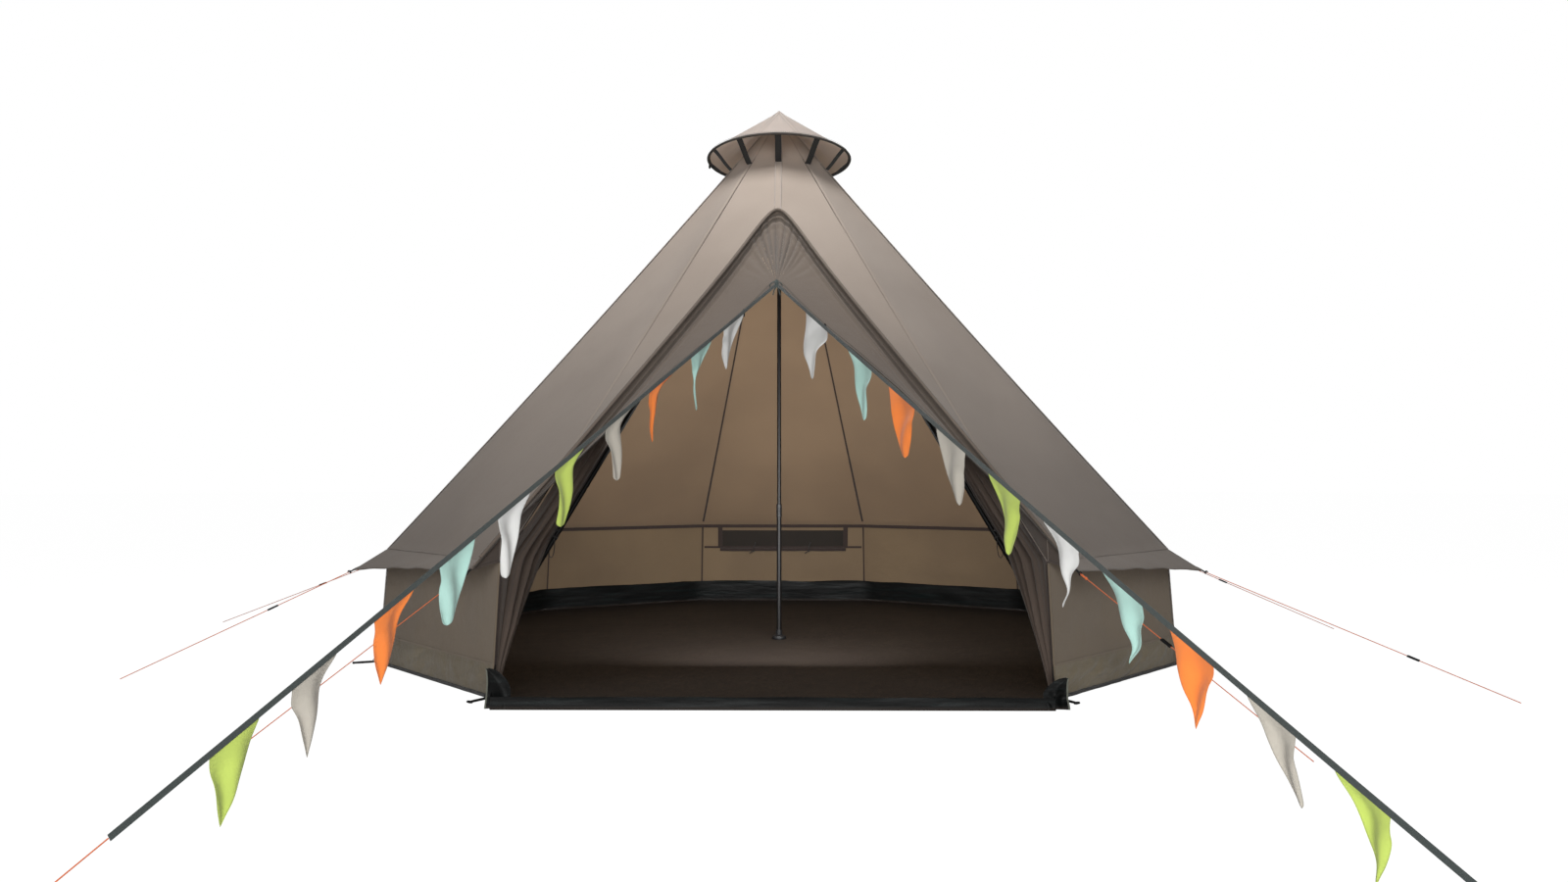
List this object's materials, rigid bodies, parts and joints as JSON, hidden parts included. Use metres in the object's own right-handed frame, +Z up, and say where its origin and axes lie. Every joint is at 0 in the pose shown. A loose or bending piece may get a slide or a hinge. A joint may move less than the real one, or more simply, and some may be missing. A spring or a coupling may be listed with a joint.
{
  "type": "pyramid tent",
  "caption": "Pyramid tent of polycotton: eleven-sided cone roof on low walls, telescopic centre pole, hooded open door with a frame, vent hat, tub floor, eave guys and bunting.",
  "frame": {"origin": "on the ground under the centre pole, on the groundsheet's underside", "axes": "+Z up, the open door faces -Y, +X along the widest way across the roof"},
  "size_m": [6.0551, 5.9813, 2.668],
  "materials": {
    "roof_cloth": "woven taupe polycotton",
    "hood_cloth": "woven brown-grey polycotton, pleated",
    "wall_cloth": "woven brown polycotton",
    "inner_cloth": "unlined cloth roll",
    "groundsheet": "coated woven sheet, dull sheen",
    "mesh": "fine insect mesh",
    "pole": "satin black powder coat",
    "black_plastic": "moulded black",
    "hat_cloth": "woven taupe polycotton, bound edge",
    "webbing": "dark grey-green webbing",
    "rope": "orange braided cord",
    "white": "plain woven cotton",
    "aqua": "plain woven cotton",
    "orange": "plain woven cotton",
    "sand": "plain woven cotton",
    "lime": "plain woven cotton"
  },
  "bodies": {
    "tent": {"bunting_tape_left": "webbing", "bunting_tape_right": "webbing", "crown_plate": "black_plastic", "door_elbow": "pole", "door_flap_left": "wall_cloth", "door_flap_right": "wall_cloth", "door_guy_left": "rope", "door_guy_right": "rope", "door_hood": "hood_cloth", "door_leg_left": "pole", "door_leg_right": "pole", "groundsheet": "groundsheet", "guy_front_left": "rope", "guy_front_right": "rope", "guy_rear_left": "rope", "guy_rear_right": "rope", "guy_side_left": "rope", "guy_side_right": "rope", "hat_hoop": "webbing", "pennant_left_1": "white", "pennant_left_10": "lime", "pennant_left_2": "aqua", "pennant_left_3": "orange", "pennant_left_4": "sand", "pennant_left_5": "lime", "pennant_left_6": "white", "pennant_left_7": "aqua", "pennant_left_8": "orange", "pennant_left_9": "sand", "pennant_right_1": "white", "pennant_right_10": "lime", "pennant_right_2": "aqua", "pennant_right_3": "orange", "pennant_right_4": "sand", "pennant_right_5": "lime", "pennant_right_6": "white", "pennant_right_7": "aqua", "pennant_right_8": "orange", "pennant_right_9": "sand", "pole_foot": "black_plastic", "pole_lower": "pole", "roof_back": "roof_cloth", "roof_left": "roof_cloth", "roof_right": "roof_cloth", "vent_hat": "hat_cloth", "wall_back": "wall_cloth", "wall_left": "wall_cloth", "wall_right": "wall_cloth", "window_mesh": "mesh", "window_roll": "inner_cloth"},
    "upper_pole": {"pole_upper": "pole", "pole_spike": "black_plastic"},
    "locking_collar": {"pole_collar": "black_plastic"},
    "vent_pull": {"vent_pull": "black_plastic"},
    "runner_front_left": {"runner_front_left": "black_plastic"},
    "runner_front_right": {"runner_front_right": "black_plastic"},
    "runner_rear_left": {"runner_rear_left": "black_plastic"},
    "runner_rear_right": {"runner_rear_right": "black_plastic"},
    "runner_side_left": {"runner_side_left": "black_plastic"},
    "runner_side_right": {"runner_side_right": "black_plastic"}
  },
  "joints": [
    {"name": "centre_pole_slide", "type": "slide", "parent": "tent", "child": "upper_pole", "axis": [0, 0, 1], "range_m": [-0.23, 0]},
    {"name": "collar_turn", "type": "hinge", "parent": "tent", "child": "locking_collar", "pos_m": [0, 0, 0.64], "axis": [0, 0, 1], "range_deg": [0, 90]},
    {"name": "vent_pull_swing", "type": "hinge", "parent": "tent", "child": "vent_pull", "pos_m": [-0.3512, -0.01572, 2.4061], "axis": [0, 1, 0], "range_deg": [-45, 45]},
    {"name": "runner_front_left_slide", "type": "slide", "parent": "tent", "child": "runner_front_left", "axis": [-0.4784, -0.7433, -0.4676], "range_m": [-0.337, 0.469]},
    {"name": "runner_front_right_slide", "type": "slide", "parent": "tent", "child": "runner_front_right", "axis": [0.4426, -0.7777, -0.4464], "range_m": [-0.368, 0.486]},
    {"name": "runner_rear_left_slide", "type": "slide", "parent": "tent", "child": "runner_rear_left", "axis": [-0.9026, 0.2789, -0.328], "range_m": [-0.446, 0.589]},
    {"name": "runner_rear_right_slide", "type": "slide", "parent": "tent", "child": "runner_rear_right", "axis": [0.9154, 0.1065, -0.3881], "range_m": [-0.29, 0.552]},
    {"name": "runner_side_left_slide", "type": "slide", "parent": "tent", "child": "runner_side_left", "axis": [-0.8249, -0.3767, -0.4214], "range_m": [-0.259, 0.499]},
    {"name": "runner_side_right_slide", "type": "slide", "parent": "tent", "child": "runner_side_right", "axis": [0.6845, -0.6518, -0.3266], "range_m": [-0.783, 0.257]}
  ]
}
